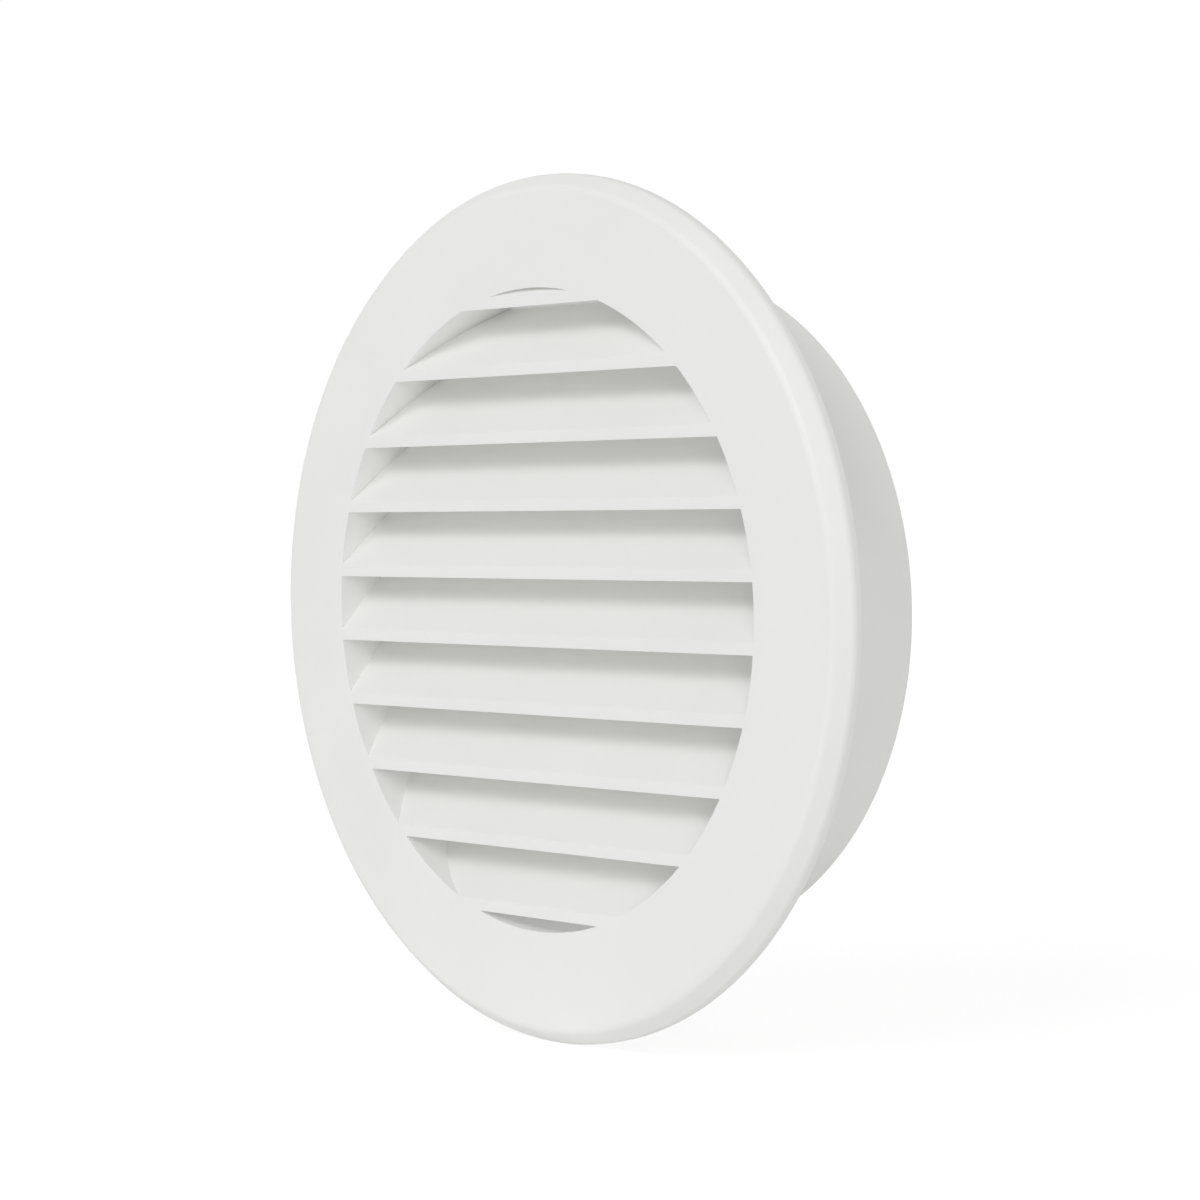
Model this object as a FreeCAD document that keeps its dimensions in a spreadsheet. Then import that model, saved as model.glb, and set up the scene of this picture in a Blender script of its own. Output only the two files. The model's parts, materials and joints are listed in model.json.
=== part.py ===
import FreeCAD, Part
import math
import os
import Sketcher

# Round louvred vent cover, moulded as one piece: a ring with a slightly coned face and a bevelled rim,
# a bank of fixed slanted blades across its opening, and a plain spigot behind that goes into a round
# hole or duct. Millimetres. The front faces -Y, the spigot runs along +Y, +Z is up, and the origin is
# on the axis in the plane where the rim's foot meets the wall.

# Driving sizes: name, value, meaning.
SIZES = (
    ("face_diameter", 125.0, "outside of the ring"),
    ("rim_depth", 4.35, "front face at the opening to the wall"),
    ("rim_land", 1.55, "plain edge of the rim behind its bevel"),
    ("bevel_width", 2.0, "bevel of the rim, measured along the face"),
    ("face_fall", 0.5, "face further back at the bevel than at the opening"),
    ("rim_foot", 2.5, "width of the rim's foot on the wall"),
    ("plate_thickness", 2.4, "ring where it joins the spigot"),
    ("spigot_diameter", 98.0, "outside of the spigot"),
    ("spigot_reach", 23.4, "spigot behind the wall plane"),
    ("spigot_front_wall", 2.8, "wall of the spigot at the front face"),
    ("spigot_end_wall", 1.8, "wall of the spigot at its open end"),
    ("blade_pitch", 9.77, "blade to blade, upwards"),
    ("blade_lip", 1.7, "height of a blade's front lip"),
    ("blade_depth", 9.0, "blade from its lip to its rear edge, along the axis"),
    ("blade_slope", 45.0, "rise of a blade towards the rear, in degrees"),
    ("blade_end_gap", 0.8, "least room above the top lip and below the bottom one"),
    ("louvre_rise", 0.46, "middle of the bank of blades above the axis"),
    ("bevel_round", 0.8, "face to bevel"),
    ("rim_edge_round", 0.3, "bevel to land"),
    ("bore_edge_round", 0.25, "face to bore"),
    ("spigot_lead_in", 0.4, "chamfer on the outer edge of the spigot's open end"),
    ("blade_tail_round", 0.3, "upper rear edge of a blade"),
)
SAME_PLACE = 1e-4

# Section of the ring and spigot. Across: radius. Along: distance behind the wall plane.
RING_SECTION = (
    ("bore_edge", "Sizes.spigot_diameter / 2 - Sizes.spigot_front_wall", "-Sizes.rim_depth"),
    ("fall_start", "Sizes.spigot_diameter / 2", "-Sizes.rim_depth"),
    ("bevel_front", "Sizes.face_diameter / 2 - Sizes.bevel_width", "Sizes.face_fall - Sizes.rim_depth"),
    ("bevel_back", "Sizes.face_diameter / 2", "-Sizes.rim_land"),
    ("rim_outer", "Sizes.face_diameter / 2", "0"),
    ("rim_inner", "Sizes.face_diameter / 2 - Sizes.rim_foot", "0"),
    ("recess_rim", "Sizes.face_diameter / 2 - Sizes.rim_foot", "Sizes.plate_thickness - Sizes.rim_depth"),
    ("spigot_root", "Sizes.spigot_diameter / 2", "Sizes.plate_thickness - Sizes.rim_depth"),
    ("lead_in_start", "Sizes.spigot_diameter / 2", "Sizes.spigot_reach - Sizes.spigot_lead_in"),
    ("spigot_end", "Sizes.spigot_diameter / 2 - Sizes.spigot_lead_in", "Sizes.spigot_reach"),
    ("bore_end", "Sizes.spigot_diameter / 2 - Sizes.spigot_end_wall", "Sizes.spigot_reach"),
)
RING_ROUNDS = (
    ("bore_edge", "bore_edge_round"),
    ("bevel_front", "bevel_round"),
    ("bevel_back", "rim_edge_round"),
)

# The blades stand one pitch apart, as many as the opening takes, about the middle of the bank.
BORE = "(Sizes.spigot_diameter - 2 * Sizes.spigot_front_wall)"
LIP_ROOM = f"{BORE} - Sizes.blade_lip - 2 * Sizes.blade_end_gap"
BLADE_COUNT = f"(floor(({LIP_ROOM}) / Sizes.blade_pitch) + 1)"
LIP_FOOT = f"Sizes.louvre_rise - ({BLADE_COUNT} - 1) * Sizes.blade_pitch / 2 - Sizes.blade_lip / 2"
TAIL_FOOT = f"{LIP_FOOT} + Sizes.blade_depth * tan(Sizes.blade_slope)"

# Section of the lowest blade. Across: distance behind the wall plane. Along: height.
BLADE_SECTION = (
    ("lip_foot", "-Sizes.rim_depth", LIP_FOOT),
    ("tail_foot", "Sizes.blade_depth - Sizes.rim_depth", TAIL_FOOT),
    ("tail_top", "Sizes.blade_depth - Sizes.rim_depth", f"{TAIL_FOOT} + Sizes.blade_lip"),
    ("lip_top", "-Sizes.rim_depth", f"{LIP_FOOT} + Sizes.blade_lip"),
)
BLADE_ROUNDS = (
    ("tail_top", "blade_tail_round"),
)

# What is cut off the blades' ends: all that lies past the middle of the spigot's wall.
MID_WALL = "(Sizes.spigot_diameter - Sizes.spigot_front_wall) / 2"
TRIM_SECTION = (
    ("inner_front", MID_WALL, "-2 * Sizes.rim_depth"),
    ("outer_front", "Sizes.face_diameter", "-2 * Sizes.rim_depth"),
    ("outer_back", "Sizes.face_diameter", "Sizes.blade_depth"),
    ("inner_back", MID_WALL, "Sizes.blade_depth"),
)


def make_sheet(doc):
    """Put every driving size in a cell under its own name, with its meaning beside it."""
    sheet = doc.addObject("Spreadsheet::Sheet", "Sizes")
    for row, (name, value, meaning) in enumerate(SIZES, start=1):
        sheet.set(f"A{row}", name)
        sheet.set(f"B{row}", str(value))
        sheet.set(f"C{row}", meaning)
        sheet.setAlias(f"B{row}", name)
    doc.recompute()


def new_body(doc, label):
    """Start a body at the origin of the part's frame."""
    body = doc.addObject("PartDesign::Body", label)
    body.Label = label
    body.Placement = FreeCAD.Placement()
    return body


def closed_profile(body, name, plane_role, corners):
    """Draw a closed outline whose corners are each placed by two expressions from the origin."""
    sketch = body.newObject("Sketcher::SketchObject", name)
    plane = next(item for item in body.Origin.OriginFeatures if item.Role == plane_role)
    sketch.AttachmentSupport = [(plane, "")]
    sketch.MapMode = "FlatFace"
    count = len(corners)
    turn = 2.0 * math.pi / count
    start = [FreeCAD.Vector(math.cos(turn * i), math.sin(turn * i), 0.0) for i in range(count)]
    for i in range(count):
        sketch.addGeometry(Part.LineSegment(start[i], start[(i + 1) % count]))
    for i in range(count):
        sketch.addConstraint(Sketcher.Constraint("Coincident", i, 2, (i + 1) % count, 1))
    for i, (corner, across, along) in enumerate(corners):
        for kind, axis, expression in (("DistanceX", "x", across), ("DistanceY", "y", along)):
            placed = Sketcher.Constraint(kind, -1, 1, i, 1, getattr(start[i], axis))
            index = sketch.addConstraint(placed)
            sketch.renameConstraint(index, f"{corner}_{axis}")
            sketch.setExpression(f"Constraints.{corner}_{axis}", expression)
    body.Document.recompute()
    return sketch


def revolve(body, kind, name, sketch):
    """Turn an outline once round the Y axis."""
    feature = body.newObject(kind, name)
    feature.Profile = sketch
    feature.ReferenceAxis = (sketch, ["V_Axis"])
    feature.Angle = 360.0
    body.Document.recompute()
    return feature


def is_ring_through(edge, point):
    """Tell whether an edge is the circle about the Y axis through a point of the XY plane."""
    curve = edge.Curve
    if not isinstance(curve, Part.Circle):
        return False
    return abs(curve.Radius - point.x) < SAME_PLACE and abs(curve.Center.y - point.y) < SAME_PLACE


def is_line_through(edge, point):
    """Tell whether an edge is the straight line along X through a point of the YZ plane."""
    return all(abs(v.Y - point.y) < SAME_PLACE and abs(v.Z - point.z) < SAME_PLACE for v in edge.Vertexes)


def round_corners(body, feature, sketch, corners, rounds, is_wanted):
    """Round the edges that the named corners of an outline became, each by its own size."""
    names = [corner for corner, _, _ in corners]
    for corner, size in rounds:
        point = sketch.Placement.multVec(sketch.getPoint(names.index(corner), 1))
        edges = [f"Edge{i}" for i, edge in enumerate(feature.Shape.Edges, start=1) if is_wanted(edge, point)]
        if not edges:
            raise RuntimeError(f"no edge to round at {corner}")
        rounded = body.newObject("PartDesign::Fillet", f"Round_{corner}")
        rounded.Base = (feature, edges)
        rounded.setExpression("Radius", f"Sizes.{size}")
        body.Document.recompute()
        feature = rounded
    return feature


def build_ring(doc):
    """Make the ring with its bevelled rim and its spigot."""
    body = new_body(doc, "vent_cover")
    sketch = closed_profile(body, "RingSection", "XY_Plane", RING_SECTION)
    ring = revolve(body, "PartDesign::Revolution", "Ring", sketch)
    round_corners(body, ring, sketch, RING_SECTION, RING_ROUNDS, is_ring_through)
    return body


def build_louvres(doc):
    """Make one blade, repeat it up the opening and trim the bank to the round of the spigot."""
    body = new_body(doc, "louvre_blades")
    sketch = closed_profile(body, "BladeSection", "YZ_Plane", BLADE_SECTION)
    blade = body.newObject("PartDesign::Pad", "Blade")
    blade.Profile = sketch
    blade.SideType = "Symmetric"
    blade.setExpression("Length", "Sizes.spigot_diameter")
    doc.recompute()
    round_corners(body, blade, sketch, BLADE_SECTION, BLADE_ROUNDS, is_line_through)

    bank = body.newObject("PartDesign::LinearPattern", "Bank")
    bank.TransformMode = "Whole shape"
    bank.Direction = (sketch, ["V_Axis"])
    bank.Mode = "Spacing"
    bank.setExpression("Offset", "Sizes.blade_pitch")
    bank.setExpression("Occurrences", BLADE_COUNT)
    body.Tip = bank
    doc.recompute()

    trim_sketch = closed_profile(body, "TrimSection", "XY_Plane", TRIM_SECTION)
    trimmed = revolve(body, "PartDesign::Groove", "TrimmedEnds", trim_sketch)
    if not trimmed.Shape.Volume < bank.Shape.Volume:
        raise RuntimeError("the blades' ends were not trimmed")
    return body


def join(ring, blades):
    """Run the blades into the ring, which makes the moulding one solid."""
    moulding = ring.newObject("PartDesign::Boolean", "Moulding")
    moulding.Type = "Fuse"
    moulding.setObjects([blades])
    ring.Tip = moulding
    ring.Document.recompute()


def check(doc, part):
    """Stop before anything is written if a feature failed or the part is not one sound solid."""
    for item in doc.Objects:
        if "Invalid" in item.State or "Error" in item.State:
            raise RuntimeError(f"{item.Label} failed: {item.State}")
    if part.Shape.isNull() or not part.Shape.isValid():
        raise RuntimeError(f"{part.Label} is not a sound shape")
    if len(part.Shape.Solids) != 1:
        raise RuntimeError(f"{part.Label} has {len(part.Shape.Solids)} solids")


def main():
    """Build the moulding and write it."""
    doc = FreeCAD.newDocument("RoundVentCover")
    make_sheet(doc)
    cover = build_ring(doc)
    join(cover, build_louvres(doc))
    check(doc, cover)
    os.makedirs("parts", exist_ok=True)
    cover.Shape.exportStep(os.path.join("parts", f"{cover.Label}.step"))
    box = cover.Shape.optimalBoundingBox(True, False)
    print(f"{cover.Label}: {box.XLength:.2f} x {box.YLength:.2f} x {box.ZLength:.2f} mm")
    print(f"{cover.Shape.Volume / 1000.0:.2f} cm3 in {len(cover.Shape.Faces)} faces")


main()
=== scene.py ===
"""Round louvred vent cover: the finished moulding, its studio and its camera.

Lengths in the sizes below are millimetres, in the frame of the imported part: the front faces -Y, the
spigot runs along +Y, +Z is up, and the origin is on the axis in the plane where the rim meets the wall.
"""

import json
import logging
import math
from dataclasses import dataclass, field
from enum import Enum
from typing import Any, Callable

import bmesh
import bpy
from mathutils import Matrix, Vector

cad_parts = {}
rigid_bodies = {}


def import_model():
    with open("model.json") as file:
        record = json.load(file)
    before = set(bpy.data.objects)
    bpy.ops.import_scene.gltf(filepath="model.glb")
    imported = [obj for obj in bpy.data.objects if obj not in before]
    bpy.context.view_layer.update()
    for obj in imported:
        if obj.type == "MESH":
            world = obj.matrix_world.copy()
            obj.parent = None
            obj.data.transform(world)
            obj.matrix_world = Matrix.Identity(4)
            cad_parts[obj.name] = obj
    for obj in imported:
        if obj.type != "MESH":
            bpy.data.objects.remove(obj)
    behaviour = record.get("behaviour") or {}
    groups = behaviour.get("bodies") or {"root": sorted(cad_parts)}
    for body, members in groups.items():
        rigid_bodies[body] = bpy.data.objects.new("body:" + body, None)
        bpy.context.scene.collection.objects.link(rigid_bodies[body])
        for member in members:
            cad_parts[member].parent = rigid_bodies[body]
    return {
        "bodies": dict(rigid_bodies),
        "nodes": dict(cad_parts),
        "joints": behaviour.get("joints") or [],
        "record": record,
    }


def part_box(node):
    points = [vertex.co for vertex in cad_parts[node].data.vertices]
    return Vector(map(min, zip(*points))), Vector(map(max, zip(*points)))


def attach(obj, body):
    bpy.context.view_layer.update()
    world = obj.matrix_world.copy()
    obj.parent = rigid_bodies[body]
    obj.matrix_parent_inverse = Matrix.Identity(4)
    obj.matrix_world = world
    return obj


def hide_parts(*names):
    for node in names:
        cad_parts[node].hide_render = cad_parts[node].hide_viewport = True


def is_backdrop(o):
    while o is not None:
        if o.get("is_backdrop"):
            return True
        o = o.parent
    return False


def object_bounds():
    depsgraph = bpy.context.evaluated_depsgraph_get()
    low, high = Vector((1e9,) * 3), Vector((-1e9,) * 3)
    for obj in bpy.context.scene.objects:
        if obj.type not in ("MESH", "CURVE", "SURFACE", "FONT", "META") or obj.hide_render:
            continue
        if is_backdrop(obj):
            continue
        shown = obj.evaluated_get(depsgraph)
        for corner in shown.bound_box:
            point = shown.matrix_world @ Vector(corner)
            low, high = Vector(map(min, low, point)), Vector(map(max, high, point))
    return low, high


log = logging.getLogger("vent_cover")

MM = 0.001
NODE = "vent_cover"
BODY = "root"
WHITE = (1.0, 1.0, 1.0, 1.0)
REAR = Vector((0.0, 1.0, 0.0))
# Points closer together than this, in millimetres, are at one place.
SAME_PLACE = 0.002
# Directions are the same if the cosine of the angle between them is above this.
SAME_WAY = 0.999
# The numbers of the colour sockets of a Mix node, whose names are shared by its other sockets.
MIX_FIRST, MIX_SECOND, MIX_RESULT = 6, 7, 2


class Joining(Enum):
    """How a second mesh is put to the first one."""

    FUSE = "UNION"
    COMMON = "INTERSECT"


def linear_colour(srgb_hex: str) -> tuple[float, float, float, float]:
    """Turn an sRGB hex colour into a linear one.

    Args:
        srgb_hex: a hash sign and six hex digits.

    Returns:
        Linear red, green and blue, and an alpha of 1.
    """
    channels = [int(srgb_hex[i:i + 2], 16) / 255.0 for i in (1, 3, 5)]
    red, green, blue = (c / 12.92 if c <= 0.04045 else ((c + 0.055) / 1.055) ** 2.4 for c in channels)
    return (red, green, blue, 1.0)


def direction(azimuth: float, elevation: float) -> Vector:
    """Work out a direction as seen from the cover.

    Args:
        azimuth: degrees from straight in front towards the cover's right side.
        elevation: degrees above level.

    Returns:
        A vector of length 1.
    """
    around, above = math.radians(azimuth), math.radians(elevation)
    return Vector((math.sin(around) * math.cos(above), -math.cos(around) * math.cos(above), math.sin(above)))


def add_node(tree: bpy.types.NodeTree, kind: str, inputs: dict[Any, Any] | None = None,
             **settings: Any) -> bpy.types.Node:
    """Add a node with its settings, its socket values and its links.

    Args:
        tree: the node tree that gets the node.
        kind: Blender's name for the kind of node.
        inputs: by input name or number, a plain value or the output socket to link from.
        settings: the node's own properties.

    Returns:
        The new node.
    """
    node = tree.nodes.new(kind)
    for name, value in settings.items():
        setattr(node, name, value)
    for name, value in (inputs or {}).items():
        if isinstance(value, bpy.types.NodeSocket):
            tree.links.new(value, node.inputs[name])
        else:
            node.inputs[name].default_value = value
    return node


class Workpiece:
    """A mesh on the bench, shaped with edit-mode operators and modifiers."""

    def __init__(self, name: str) -> None:
        """Take the primitive that was just added, and put its place into its mesh.

        Args:
            name: the object's new name.
        """
        self.obj = bpy.context.active_object
        self.obj.name = name
        self.obj.data.name = name
        bpy.ops.object.transform_apply(location=True, rotation=True, scale=True)

    @staticmethod
    def clear_bench() -> None:
        """Leave nothing selected, so that the next operator acts on its own piece only."""
        bpy.ops.object.select_all(action="DESELECT")
        bpy.context.view_layer.objects.active = None

    def take(self) -> None:
        """Make this the one selected, active object."""
        self.clear_bench()
        self.obj.select_set(True)
        bpy.context.view_layer.objects.active = self.obj

    def edit(self) -> None:
        """Open the mesh for editing by its edges."""
        self.take()
        bpy.ops.object.mode_set(mode="EDIT")
        bpy.ops.mesh.select_mode(type="EDGE")

    def close(self) -> None:
        """Leave edit mode."""
        bpy.ops.object.mode_set(mode="OBJECT")

    def select_edges(self, wanted: Callable[[Vector], bool]) -> None:
        """Select the edges of the open mesh that lie at a place.

        Args:
            wanted: tells whether a point is at that place; both ends have to be.
        """
        bpy.ops.mesh.select_all(action="DESELECT")
        mesh = bmesh.from_edit_mesh(self.obj.data)
        for edge in mesh.edges:
            if all(wanted(end.co) for end in edge.verts):
                edge.select_set(True)
        mesh.select_flush_mode()
        bmesh.update_edit_mesh(self.obj.data)

    def select_faces(self, facing: Vector) -> None:
        """Select the faces of the open mesh that face one way.

        Args:
            facing: the way they face.
        """
        bpy.ops.mesh.select_all(action="DESELECT")
        mesh = bmesh.from_edit_mesh(self.obj.data)
        for face in mesh.faces:
            if face.normal.dot(facing) > SAME_WAY:
                face.select_set(True)
        bmesh.update_edit_mesh(self.obj.data)

    def round_edges(self, reach: float, segments: int) -> None:
        """Round the selected edges.

        Args:
            reach: how far the round runs back from the edge along each face, in millimetres.
            segments: faces across the round.
        """
        bpy.ops.mesh.bevel(offset=reach * MM, offset_type="OFFSET", segments=segments, profile=0.5,
                           affect="EDGES", clamp_overlap=False)

    def modify(self, kind: str, **settings: Any) -> None:
        """Add a modifier and apply it.

        Args:
            kind: Blender's name for the kind of modifier.
            settings: the modifier's own properties.
        """
        self.take()
        modifier = self.obj.modifiers.new(kind.title(), kind)
        for name, value in settings.items():
            setattr(modifier, name, value)
        bpy.ops.object.modifier_apply(modifier=modifier.name)

    def combine(self, other: "Workpiece", joining: Joining) -> None:
        """Put another workpiece to this one, and take the other off the bench.

        Args:
            other: the second mesh.
            joining: how they are put together.
        """
        self.modify("BOOLEAN", object=other.obj, operation=joining.value, solver="EXACT")
        bpy.data.objects.remove(other.obj)


@dataclass(frozen=True)
class Corner:
    """One corner of a turned section: its radius, its place along the axis and its round, if it has one."""

    radius: float
    along: float
    round: float = 0.0
    segments: int = 4

    def is_here(self, point: Vector) -> bool:
        """Tell whether a point of the mesh is on the ring that this corner turns into."""
        radius = math.hypot(point.x, point.z) / MM
        return abs(radius - self.radius) < SAME_PLACE and abs(point.y / MM - self.along) < SAME_PLACE

    def reach(self, before: "Corner", after: "Corner") -> float:
        """How far this corner's round runs back along its two sides.

        Args:
            before: the corner before this one in the section.
            after: the corner after it.

        Returns:
            The length from the sharp corner to where the round begins, in millimetres.
        """
        way_in = Vector((self.radius - before.radius, self.along - before.along))
        way_out = Vector((after.radius - self.radius, after.along - self.along))
        return self.round * math.tan(way_in.angle(way_out) / 2.0)


@dataclass(frozen=True)
class Ring:
    """The slightly coned ring, its bevelled rim and the spigot behind it, turned in one."""

    outer_radius: float
    front: float
    spigot_radius: float
    spigot_end: float
    rim_land: float = 1.55
    bevel_width: float = 2.0
    face_fall: float = 0.5
    rim_foot: float = 2.5
    plate: float = 2.4
    front_wall: float = 2.8
    end_wall: float = 1.8
    lead_in: float = 0.4
    opening_round: float = 0.08
    bevel_front_round: float = 1.6
    bevel_front_segments: int = 8
    bevel_back_round: float = 1.2
    bevel_back_segments: int = 5
    rim_rear_round: float = 0.4
    foot_round: float = 0.25
    relief_round: float = 0.4
    spigot_root_round: float = 0.6
    lead_in_round: float = 0.3
    spigot_rim_round: float = 0.15
    spigot_mouth_round: float = 0.3
    facets: int = 288

    @property
    def bore_radius(self) -> float:
        """Radius of the opening at the front face."""
        return self.spigot_radius - self.front_wall

    @property
    def mid_wall_radius(self) -> float:
        """Radius of the middle of the spigot's wall, where the blades' ends stop."""
        return self.spigot_radius - self.front_wall / 2.0

    def section(self) -> list[Corner]:
        """List the corners of the section, from the opening's edge outwards and round to the spigot's mouth.

        Returns:
            The corners in that order; the bore runs from the last one back to the first.
        """
        plate_back = self.front + self.plate
        foot = self.outer_radius - self.rim_foot
        return [
            Corner(self.bore_radius, self.front, self.opening_round),
            Corner(self.spigot_radius, self.front),
            Corner(self.outer_radius - self.bevel_width, self.front + self.face_fall,
                   self.bevel_front_round, self.bevel_front_segments),
            Corner(self.outer_radius, -self.rim_land, self.bevel_back_round, self.bevel_back_segments),
            Corner(self.outer_radius, 0.0, self.rim_rear_round),
            Corner(foot, 0.0, self.foot_round),
            Corner(foot, plate_back, self.relief_round),
            Corner(self.spigot_radius, plate_back, self.spigot_root_round),
            Corner(self.spigot_radius, self.spigot_end - self.lead_in, self.lead_in_round),
            Corner(self.spigot_radius - self.lead_in, self.spigot_end, self.spigot_rim_round),
            Corner(self.spigot_radius - self.end_wall, self.spigot_end, self.spigot_mouth_round),
        ]

    def build(self) -> Workpiece:
        """Draw the section's first ring, extrude it from corner to corner, close it and round it.

        Returns:
            The closed ring.
        """
        section = self.section()
        start = section[0]
        Workpiece.clear_bench()
        bpy.ops.mesh.primitive_circle_add(vertices=self.facets, radius=start.radius * MM, fill_type="NOTHING",
                                          location=(0.0, start.along * MM, 0.0),
                                          rotation=(math.pi / 2.0, 0.0, 0.0))
        ring = Workpiece("ring")
        ring.edit()
        bpy.ops.mesh.select_all(action="SELECT")
        for before, corner in zip(section, section[1:]):
            step = (corner.along - before.along) * MM
            scale = corner.radius / before.radius
            bpy.ops.mesh.extrude_region_move(TRANSFORM_OT_translate={"value": (0.0, step, 0.0)})
            bpy.ops.transform.resize(value=(scale, 1.0, scale), center_override=(0.0, corner.along * MM, 0.0))
        ring.select_edges(lambda point: start.is_here(point) or section[-1].is_here(point))
        bpy.ops.mesh.bridge_edge_loops()
        for i, corner in enumerate(section):
            if not corner.round:
                continue
            after = section[(i + 1) % len(section)]
            ring.select_edges(corner.is_here)
            ring.round_edges(corner.reach(section[i - 1], after), corner.segments)
        bpy.ops.mesh.select_all(action="SELECT")
        bpy.ops.mesh.normals_make_consistent(inside=False)
        ring.close()
        return ring


@dataclass(frozen=True)
class LouvreBank:
    """The fixed blades across the opening: flush lips in front, rising to the rear to shed rain.

    The drum that trims them is longer than a blade is deep, so that its ends stand clear of them.
    """

    ring: Ring
    pitch: float = 9.77
    lip: float = 1.7
    depth: float = 9.0
    slope: float = 45.0
    end_gap: float = 0.8
    rise: float = 0.46
    lip_foot_round: float = 0.05
    lip_top_round: float = 0.15
    tail_round: float = 0.3
    round_segments: int = 4
    drum_length: float = 36.0

    @property
    def count(self) -> int:
        """As many blades as the opening takes."""
        room = 2.0 * self.ring.bore_radius - self.lip - 2.0 * self.end_gap
        return math.floor(room / self.pitch) + 1

    @property
    def lowest_lip_foot(self) -> float:
        """Height of the lower edge of the bottom blade's lip."""
        return self.rise - (self.count - 1) * self.pitch / 2.0 - self.lip / 2.0

    def build(self) -> Workpiece:
        """Shape the bottom blade, repeat it upwards and trim the bank to the round of the spigot.

        Returns:
            The bank of blades, with ends that stop inside the spigot's wall.
        """
        foot = self.lowest_lip_foot
        tail = self.ring.front + self.depth
        lift = self.depth * math.tan(math.radians(self.slope))
        middle = Vector((0.0, self.ring.front + self.depth / 2.0, foot + self.lip / 2.0)) * MM
        Workpiece.clear_bench()
        bpy.ops.mesh.primitive_cube_add(size=1.0, location=middle)
        bpy.context.active_object.scale = Vector((2.0 * self.ring.spigot_radius, self.depth, self.lip)) * MM
        bank = Workpiece("louvre_bank")
        bank.edit()
        bank.select_faces(REAR)
        bpy.ops.transform.translate(value=(0.0, 0.0, lift * MM))
        slant = math.radians(self.slope)
        blunt, sharp = math.radians(90.0) - slant, math.radians(90.0) + slant
        for along, height, size, turn in (
            (self.ring.front, foot, self.lip_foot_round, sharp),
            (self.ring.front, foot + self.lip, self.lip_top_round, blunt),
            (tail, foot + lift, self.tail_round, blunt),
            (tail, foot + lift + self.lip, self.tail_round, sharp),
        ):
            self._round_along(bank, along, height, size * math.tan(turn / 2.0))
        bank.close()
        bank.modify("ARRAY", count=self.count, use_relative_offset=False, use_constant_offset=True,
                    constant_offset_displace=Vector((0.0, 0.0, self.pitch * MM)))
        bank.combine(self._trimmer(), Joining.COMMON)
        return bank

    def _round_along(self, bank: Workpiece, along: float, height: float, reach: float) -> None:
        """Round the long edge of a blade at one place of its section.

        Args:
            bank: the blade, open for editing.
            along: the edge's place along the spigot's axis.
            height: the edge's height.
            reach: how far the round runs back from the edge.
        """
        edge = Vector((along, height))
        bank.select_edges(lambda point: (Vector((point.y, point.z)) / MM - edge).length < SAME_PLACE)
        bank.round_edges(reach, self.round_segments)

    def _trimmer(self) -> Workpiece:
        """Make a drum as wide as the middle of the spigot's wall, which the blades are trimmed to.

        Returns:
            The drum.
        """
        Workpiece.clear_bench()
        bpy.ops.mesh.primitive_cylinder_add(vertices=self.ring.facets, radius=self.ring.mid_wall_radius * MM,
                                            depth=self.drum_length * MM, location=(0.0, 0.0, 0.0),
                                            rotation=(math.pi / 2.0, 0.0, 0.0))
        return Workpiece("trimming_drum")


@dataclass(frozen=True)
class MouldedWhitePlastic:
    """White ABS, injection moulded in a finely eroded mould.

    The pigment is a clean, covering white, so shadows in the slots stay pale and only a little warm.
    The eroded mould leaves a close, low grain, which spreads the gloss into a wide satin sheen.
    """

    name: str = "white_abs_satin_moulded"
    body: str = "#FAFAF8"
    flow: str = "#F8F8F6"
    roughness: tuple[float, float] = (0.48, 0.56)
    ior: float = 1.53
    grain: float = 0.35
    grain_height: float = 0.012
    grain_detail: float = 3.0
    grain_roughness: float = 0.6
    flow_width: float = 22.0
    flow_detail: float = 2.0
    flow_span: tuple[float, float] = (0.35, 0.65)

    def build(self) -> bpy.types.Material:
        """Make the material.

        Returns:
            The material, with its patterns on object coordinates.
        """
        material = bpy.data.materials.new(self.name)
        material.use_nodes = True
        tree = material.node_tree
        tree.nodes.clear()
        place = add_node(tree, "ShaderNodeTexCoord").outputs["Object"]
        # Grain of the mould, drawn about twice as coarse as the real one so that it shows at all.
        grain = add_node(tree, "ShaderNodeTexNoise",
                         {"Vector": place, "Scale": 1.0 / (self.grain * MM),
                          "Detail": self.grain_detail, "Roughness": self.grain_roughness})
        relief = add_node(tree, "ShaderNodeBump",
                          {"Height": grain.outputs["Fac"], "Strength": 1.0,
                           "Distance": self.grain_height * MM})
        # Slow drift in tone and gloss, as the melt flowed and cooled unevenly in the mould.
        flow = add_node(tree, "ShaderNodeTexNoise",
                        {"Vector": place, "Scale": 1.0 / (self.flow_width * MM), "Detail": self.flow_detail})
        low, high = self.flow_span
        drift = add_node(tree, "ShaderNodeMapRange",
                         {"Value": flow.outputs["Fac"], "From Min": low, "From Max": high})
        colour = add_node(tree, "ShaderNodeMix",
                          {"Factor": drift.outputs["Result"], MIX_FIRST: linear_colour(self.body),
                           MIX_SECOND: linear_colour(self.flow)}, data_type="RGBA")
        smoothest, roughest = self.roughness
        gloss = add_node(tree, "ShaderNodeMapRange",
                         {"Value": flow.outputs["Fac"], "From Min": low, "From Max": high,
                          "To Min": smoothest, "To Max": roughest})
        plastic = add_node(tree, "ShaderNodeBsdfPrincipled",
                           {"Base Color": colour.outputs[MIX_RESULT], "Roughness": gloss.outputs["Result"],
                            "IOR": self.ior, "Normal": relief.outputs["Normal"]})
        add_node(tree, "ShaderNodeOutputMaterial", {"Surface": plastic.outputs["BSDF"]})
        return material


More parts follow.
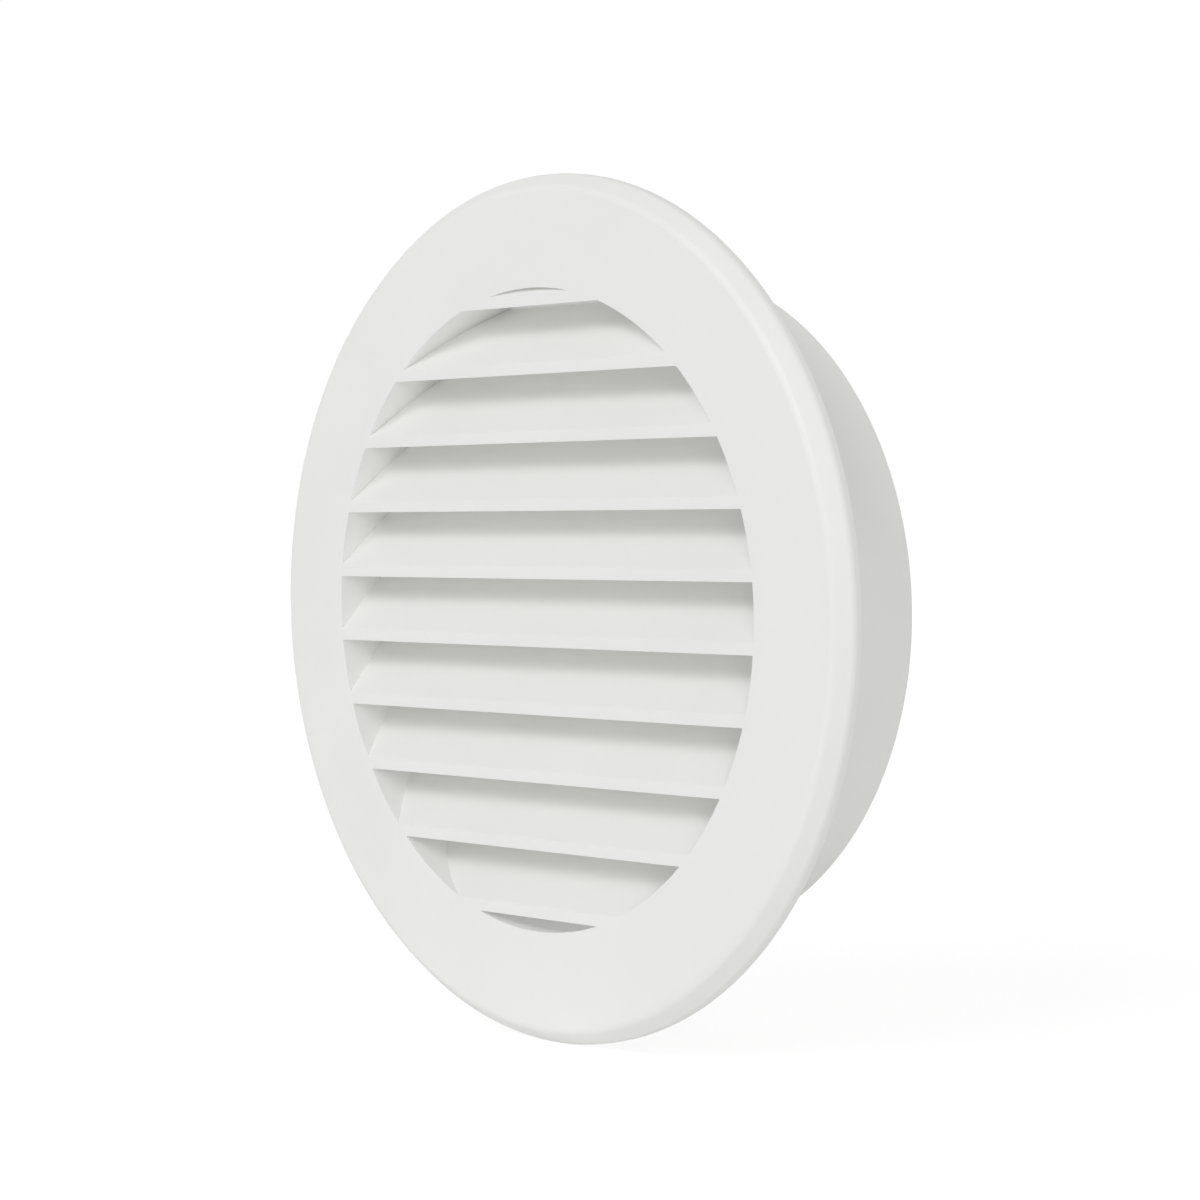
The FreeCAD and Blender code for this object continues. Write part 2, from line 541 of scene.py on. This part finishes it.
@dataclass(frozen=True)
class VentCover:
    """The whole cover: ring, spigot and blades, moulded as one piece."""

    ring: Ring
    louvres: LouvreBank
    finish: MouldedWhitePlastic = field(default_factory=MouldedWhitePlastic)
    smooth_below: float = 30.0
    face_weight: int = 100

    @classmethod
    def from_frame(cls, frame: dict[str, Any]) -> "VentCover":
        """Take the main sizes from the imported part.


        Returns:
            The cover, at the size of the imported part.
        """
        low, high = (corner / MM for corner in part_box(NODE))
        spigot = next(mount for mount in frame["record"]["mounts"] if mount["name"] == "spigot")
        ring = Ring(outer_radius=high.x, front=low.y, spigot_radius=spigot["dims"]["r_mm"], spigot_end=high.y)
        return cls(ring, LouvreBank(ring))

    def build(self) -> bpy.types.Object:
        """Fuse the blades into the ring and smooth what is round.

        Returns:
            The finished moulding.
        """
        moulding = self.ring.build()
        moulding.combine(self.louvres.build(), Joining.FUSE)
        moulding.edit()
        bpy.ops.mesh.select_all(action="SELECT")
        bpy.ops.mesh.remove_doubles(threshold=SAME_PLACE * MM)
        bpy.ops.mesh.normals_make_consistent(inside=False)
        moulding.close()
        bpy.ops.object.shade_smooth_by_angle(angle=math.radians(self.smooth_below))
        moulding.modify("WEIGHTED_NORMAL", keep_sharp=True, weight=self.face_weight)
        moulding.obj.name = "vent_cover_moulding"
        return moulding.obj

    def dress(self, moulding: bpy.types.Object) -> None:
        """Give the moulding its finish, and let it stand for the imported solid.

        Args:
            moulding: the finished mesh.
        """
        moulding.data.materials.clear()
        moulding.data.materials.append(self.finish.build())
        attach(moulding, BODY)
        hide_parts(NODE)


@dataclass(frozen=True)
class SoftLight:
    """A large light far off, given by where it hangs as seen from the cover.

    The azimuth counts from straight in front of the cover towards its right side.
    """

    name: str
    strength: float
    azimuth: float
    elevation: float
    spread: float

    def hang(self) -> None:
        """Add the light to the scene."""
        data = bpy.data.lights.new(self.name, "SUN")
        data.energy = self.strength
        data.angle = math.radians(self.spread)
        lamp = bpy.data.objects.new(self.name, data)
        towards = direction(self.azimuth, self.elevation)
        lamp.rotation_euler = towards.to_track_quat("Z", "Y").to_euler()
        lamp.location = towards
        bpy.context.scene.collection.objects.link(lamp)


@dataclass(frozen=True)
class Studio:
    """A white floor that runs out of sight, even light all round and four large lights.

    The floor's height and width are in metres, as the frame gives them.
    """

    floor_height: float
    floor_width: float = 20.0
    paper: str = "#FCFCFC"
    paper_shading: float = 0.30
    paper_glow: float = 0.84
    ambient: float = 0.437
    lights: tuple[SoftLight, ...] = (
        SoftLight("left_softbox", 0.18, -20.0, 36.0, 20.0),
        SoftLight("top_softbox", 0.25, 0.0, 46.0, 24.0),
        SoftLight("front_softbox", 0.48, 14.0, 33.0, 22.0),
        SoftLight("right_softbox", 0.46, 57.0, 8.0, 18.0),
    )

    def build(self) -> None:
        """Lay the floor and set the lights."""
        self._floor()
        self._surround()
        for light in self.lights:
            light.hang()

    @staticmethod
    def _seen_white(tree: bpy.types.NodeTree) -> bpy.types.NodeSocket:
        """Add a switch that is 1 where the camera, a reflection or a clear body shows the background.

        Args:
            tree: the node tree that gets the switch.

        Returns:
            The switch's output.
        """
        path = add_node(tree, "ShaderNodeLightPath")
        seen = add_node(tree, "ShaderNodeMath",
                        {0: path.outputs["Is Camera Ray"], 1: path.outputs["Is Glossy Ray"]},
                        operation="MAXIMUM")
        through = add_node(tree, "ShaderNodeMath",
                           {0: seen.outputs[0], 1: path.outputs["Is Transmission Ray"]},
                           operation="MAXIMUM")
        return through.outputs[0]

    def _floor(self) -> None:
        """Lay a wide sheet of white paper under the rim, which shows white but keeps the shadow."""
        Workpiece.clear_bench()
        bpy.ops.mesh.primitive_plane_add(size=self.floor_width, location=(0.0, 0.0, self.floor_height))
        floor = Workpiece("studio_floor").obj
        material = bpy.data.materials.new("white_studio_paper")
        material.use_nodes = True
        tree = material.node_tree
        tree.nodes.clear()
        plain = add_node(tree, "ShaderNodeBsdfDiffuse", {"Color": linear_colour(self.paper)})
        shaded = add_node(tree, "ShaderNodeBsdfDiffuse",
                          {"Color": (self.paper_shading, self.paper_shading, self.paper_shading, 1.0)})
        glow = add_node(tree, "ShaderNodeEmission", {"Color": WHITE, "Strength": self.paper_glow})
        seen = add_node(tree, "ShaderNodeAddShader", {0: shaded.outputs[0], 1: glow.outputs[0]})
        both = add_node(tree, "ShaderNodeMixShader",
                        {0: self._seen_white(tree), 1: plain.outputs[0], 2: seen.outputs[0]})
        add_node(tree, "ShaderNodeOutputMaterial", {"Surface": both.outputs[0]})
        floor.data.materials.append(material)
        floor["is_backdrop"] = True

    def _surround(self) -> None:
        """Light the cover evenly from all round, and show plain white behind it."""
        world = bpy.data.worlds.new("white_surround")
        world.use_nodes = True
        tree = world.node_tree
        tree.nodes.clear()
        light = add_node(tree, "ShaderNodeBackground", {"Color": WHITE, "Strength": self.ambient})
        white = add_node(tree, "ShaderNodeBackground", {"Color": WHITE, "Strength": 1.0})
        both = add_node(tree, "ShaderNodeMixShader",
                        {0: self._seen_white(tree), 1: light.outputs[0], 2: white.outputs[0]})
        add_node(tree, "ShaderNodeOutputWorld", {"Surface": both.outputs[0]})
        bpy.context.scene.world = world


@dataclass(frozen=True)
class PhotoCamera:
    """The camera, where the photograph was taken from: to the right of the cover's front, nearly level."""

    face: float
    azimuth: float = 49.31
    elevation: float = 1.80
    roll: float = -0.824
    distance: float = 462.7
    aim_across: float = 14.97
    aim_up: float = 1.76
    lens: float = 99.125
    sensor: float = 36.0
    nearest: float = 10.0

    def build(self) -> None:
        """Set up the camera and make it the scene's own."""
        back = direction(self.azimuth, self.elevation)
        level = direction(self.azimuth + 90.0, 0.0)
        roll = math.radians(self.roll)
        upright = back.cross(level)
        right = math.cos(roll) * level + math.sin(roll) * upright
        up = math.cos(roll) * upright - math.sin(roll) * level
        aim = Vector((self.aim_across, self.face, self.aim_up))
        data = bpy.data.cameras.new("photo_camera")
        data.lens = self.lens
        data.sensor_width = self.sensor
        data.clip_start = self.nearest * MM
        camera = bpy.data.objects.new("photo_camera", data)
        turn = Matrix((right, up, back)).transposed().to_4x4()
        camera.matrix_world = Matrix.Translation((aim + back * self.distance) * MM) @ turn
        bpy.context.scene.collection.objects.link(camera)
        bpy.context.scene.camera = camera


def main() -> None:
    """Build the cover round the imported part, light it and set the camera."""
    logging.basicConfig(level=logging.INFO, format="%(name)s: %(message)s")
    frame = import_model()
    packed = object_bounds()
    bpy.context.scene.view_settings.view_transform = "Standard"
    cover = VentCover.from_frame(frame)
    moulding = cover.build()
    cover.dress(moulding)
    log.info("%s: %d faces, %d blades", moulding.name, len(moulding.data.polygons), cover.louvres.count)
    Studio(floor_height=packed[0].z).build()
    PhotoCamera(face=cover.ring.front).build()


if __name__ == "__main__":
    main()
